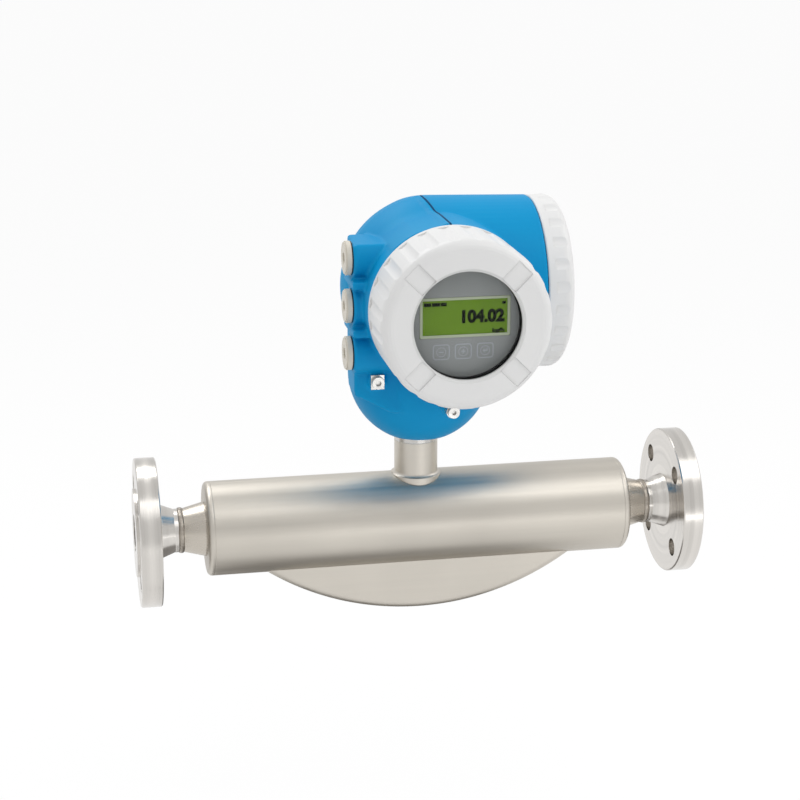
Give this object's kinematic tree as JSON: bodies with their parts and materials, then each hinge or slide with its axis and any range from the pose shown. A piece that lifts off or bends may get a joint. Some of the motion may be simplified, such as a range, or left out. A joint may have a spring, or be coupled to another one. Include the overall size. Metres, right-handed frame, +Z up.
{
  "type": "coriolis flow meter",
  "caption": "Flanged coriolis flow meter with a bow-shaped stainless sensor and a swivelling blue two-compartment transmitter with a round display window.",
  "frame": {"origin": "centre of the inlet flange's sealing face", "axes": "+X along the pipe to the outlet, +Z up the neck to the transmitter, -Y out of the display's window"},
  "size_m": [0.44, 0.204, 0.3262],
  "materials": {
    "machined_steel": "bright",
    "cast_steel": "satin",
    "blasted_steel": "matt",
    "tube_steel": "satin",
    "coil": "satin",
    "magnet": "satin",
    "ceramic": "matt",
    "flexible_film": "satin",
    "sealed_glass": "gloss",
    "black_rubber": "matt",
    "spring_steel": "satin",
    "blue_paint": "semi-gloss",
    "light_paint": "semi-gloss",
    "screw_steel": "satin",
    "circuit_board": "satin",
    "dark_plastic": "matt",
    "terminal_plastic": "matt",
    "plug_plastic": "matt",
    "window": "clear",
    "grey_plastic": "matt",
    "display_glass": "gloss"
  },
  "bodies": {
    "sensor": {"inlet_flange": "machined_steel", "outlet_flange": "machined_steel", "inlet_manifold": "cast_steel", "outlet_manifold": "cast_steel", "inlet_end_cap": "blasted_steel", "outlet_end_cap": "blasted_steel", "casing_tube": "blasted_steel", "casing_belly": "blasted_steel", "front_measuring_tube": "tube_steel", "rear_measuring_tube": "tube_steel", "inlet_brace_plates": "tube_steel", "outlet_brace_plates": "tube_steel", "exciter_coil": "coil", "exciter_magnet": "magnet", "inlet_pickup_coil": "coil", "inlet_pickup_magnet": "magnet", "outlet_pickup_coil": "coil", "outlet_pickup_magnet": "magnet", "tube_temperature_sensor": "ceramic", "signal_strip": "flexible_film", "neck_tube": "blasted_steel", "feedthrough": "sealed_glass", "swivel_spigot": "blasted_steel", "swivel_seal": "black_rubber", "swivel_circlip": "spring_steel", "sensor_cable": "black_rubber"},
    "transmitter": {"transmitter_housing": "blue_paint", "housing_fixing_screw": "screw_steel", "sensor_module": "circuit_board", "electronics_carrier": "dark_plastic", "main_board": "circuit_board", "signal_board": "circuit_board", "power_board": "circuit_board", "terminal_board": "circuit_board", "power_terminals": "terminal_plastic", "signal_terminals": "terminal_plastic", "display_holder": "dark_plastic", "upper_entry_plug": "plug_plastic", "middle_entry_plug": "plug_plastic", "lower_entry_plug": "plug_plastic", "entry_plug_seals": "black_rubber", "ground_terminal": "screw_steel", "display_lock_screw": "screw_steel", "electronics_lock_screw": "screw_steel"},
    "display_cover_travel": {"display_cover_seal": "black_rubber"},
    "display_cover": {"display_cover": "light_paint", "window_glass": "window", "window_gasket": "black_rubber", "window_ring": "spring_steel"},
    "electronics_cover_travel": {"electronics_cover_seal": "black_rubber"},
    "electronics_cover": {"electronics_cover": "light_paint"},
    "display_module": {"display_bezel": "grey_plastic", "display_panel": "display_glass", "display_board": "circuit_board", "display_case": "dark_plastic"},
    "display_lock": {"display_cover_lock": "screw_steel"},
    "electronics_lock": {"electronics_cover_lock": "screw_steel"}
  },
  "joints": [
    {"name": "transmitter_swivel", "type": "hinge", "parent": "sensor", "child": "transmitter", "pos_m": [0.22, 0, 0.069], "axis": [0, 0, 1], "range_deg": [-175, 175]},
    {"name": "display_cover_unscrew", "type": "slide", "parent": "transmitter", "child": "display_cover_travel", "axis": [0, -1, 0], "range_m": [0, 0.0081]},
    {"name": "display_cover_turn", "type": "hinge", "parent": "display_cover_travel", "child": "display_cover", "pos_m": [0.2295, -0.084, 0.1863], "axis": [0, -1, 0], "range_deg": [0, 1440]},
    {"name": "electronics_cover_unscrew", "type": "slide", "parent": "transmitter", "child": "electronics_cover_travel", "axis": [1, 0, 0], "range_m": [0, 0.0081]},
    {"name": "electronics_cover_turn", "type": "hinge", "parent": "electronics_cover_travel", "child": "electronics_cover", "pos_m": [0.3057, -0.004, 0.1863], "axis": [1, 0, 0], "range_deg": [0, 1440]},
    {"name": "display_turn", "type": "hinge", "parent": "transmitter", "child": "display_module", "pos_m": [0.2295, -0.084, 0.1863], "axis": [0, -1, 0], "range_deg": [-180, 180]},
    {"name": "display_lock_turn", "type": "hinge", "parent": "transmitter", "child": "display_lock", "pos_m": [0.2295, -0.084, 0.1108], "axis": [0, -1, 0], "range_deg": [0, 90]},
    {"name": "electronics_lock_turn", "type": "hinge", "parent": "transmitter", "child": "electronics_lock", "pos_m": [0.3057, 0.04742, 0.12502], "axis": [1, 0, 0], "range_deg": [-90, 0]}
  ],
  "couplings": [
    {"joint": "display_cover_unscrew", "follows": "display_cover_turn", "m_per_rad": 0.00031831},
    {"joint": "electronics_cover_unscrew", "follows": "electronics_cover_turn", "m_per_rad": 0.00031831}
  ]
}
